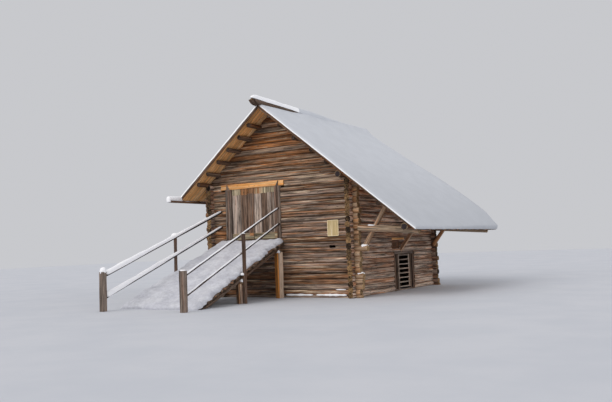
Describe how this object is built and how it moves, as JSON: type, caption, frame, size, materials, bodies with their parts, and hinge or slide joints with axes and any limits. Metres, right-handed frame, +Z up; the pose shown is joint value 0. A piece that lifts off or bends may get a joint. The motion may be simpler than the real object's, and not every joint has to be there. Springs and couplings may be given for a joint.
{
  "type": "two-storey stable",
  "caption": "Log stable of two storeys with a steep gabled roof, a deep lean-to overhang on one side and a pole ramp up to a boarded gate.",
  "frame": {"origin": "middle of the front wall at its foot, on the ground line: half way between the axes of the two side walls", "axes": "+X to the right along the front wall as seen from outside, +Y through the building towards the rear, +Z up"},
  "size_m": [10.622, 14.628, 7.75],
  "materials": {
    "brown_boards": "sawn boards, dark brown",
    "front_logs": "weathered round logs, brown with grey streaks",
    "gable_logs": "weathered round logs, warm brown",
    "grey_boards": "weathered sawn boards, grey",
    "grey_posts": "weathered squared timber, grey brown",
    "new_timber": "new planed wood, yellow orange",
    "notice_board": "painted board, cream, matt",
    "roof_boards": "sawn boards, warm tan below",
    "roof_timber": "round poles, grey brown",
    "settled_snow": "packed snow, matt white",
    "side_logs": "weathered round logs, grey brown",
    "structure_logs": "round logs, brown"
  },
  "bodies": {
    "stable": {"front_wall_lower": "front_logs", "front_wall_left": "front_logs", "front_wall_right": "front_logs", "front_gable": "gable_logs", "rear_wall": "side_logs", "rear_gable": "side_logs", "left_wall": "side_logs", "right_wall_front": "side_logs", "right_wall_rear": "side_logs", "right_wall_upper": "side_logs", "upper_floor": "grey_boards", "floor_bearer_left": "structure_logs", "floor_bearer_middle": "structure_logs", "floor_bearer_right": "structure_logs", "cross_tie": "structure_logs", "purlin_left_1": "roof_timber", "purlin_left_2": "roof_timber", "purlin_left_3": "roof_timber", "purlin_left_4": "roof_timber", "purlin_left_5": "roof_timber", "purlin_left_6": "roof_timber", "purlin_right_1": "roof_timber", "purlin_right_2": "roof_timber", "purlin_right_3": "roof_timber", "purlin_right_4": "roof_timber", "purlin_right_5": "roof_timber", "purlin_right_6": "roof_timber", "purlin_right_7": "roof_timber", "ridge_purlin": "roof_timber", "roof_left": "roof_boards", "roof_right": "roof_boards", "ridge_log": "roof_timber", "gutter_log": "roof_timber", "brace_front": "structure_logs", "brace_middle": "structure_logs", "brace_rear": "structure_logs", "gate_post_left": "grey_posts", "gate_post_right": "grey_posts", "lintel": "new_timber", "gate_leaf_left": "grey_boards", "gate_leaf_right": "grey_boards", "notice_board": "notice_board", "door_frame": "grey_posts", "hatch_shutter": "brown_boards", "hatch_lintel": "new_timber", "ramp_deck": "structure_logs", "ramp_snow": "settled_snow", "ramp_stringer_left": "structure_logs", "ramp_stringer_middle": "structure_logs", "ramp_stringer_right": "structure_logs", "ramp_trestle_upper": "new_timber", "ramp_trestle_lower": "structure_logs", "ramp_rail_right": "grey_posts", "ramp_rail_left": "grey_posts"},
    "side_gate": {"lattice_gate": "grey_boards"}
  },
  "joints": [
    {"name": "side_gate_hinge", "type": "hinge", "parent": "stable", "child": "side_gate", "pos_m": [3.34, 3.792, 0.8], "axis": [0, 0, -1], "range_deg": [0, 95]}
  ]
}
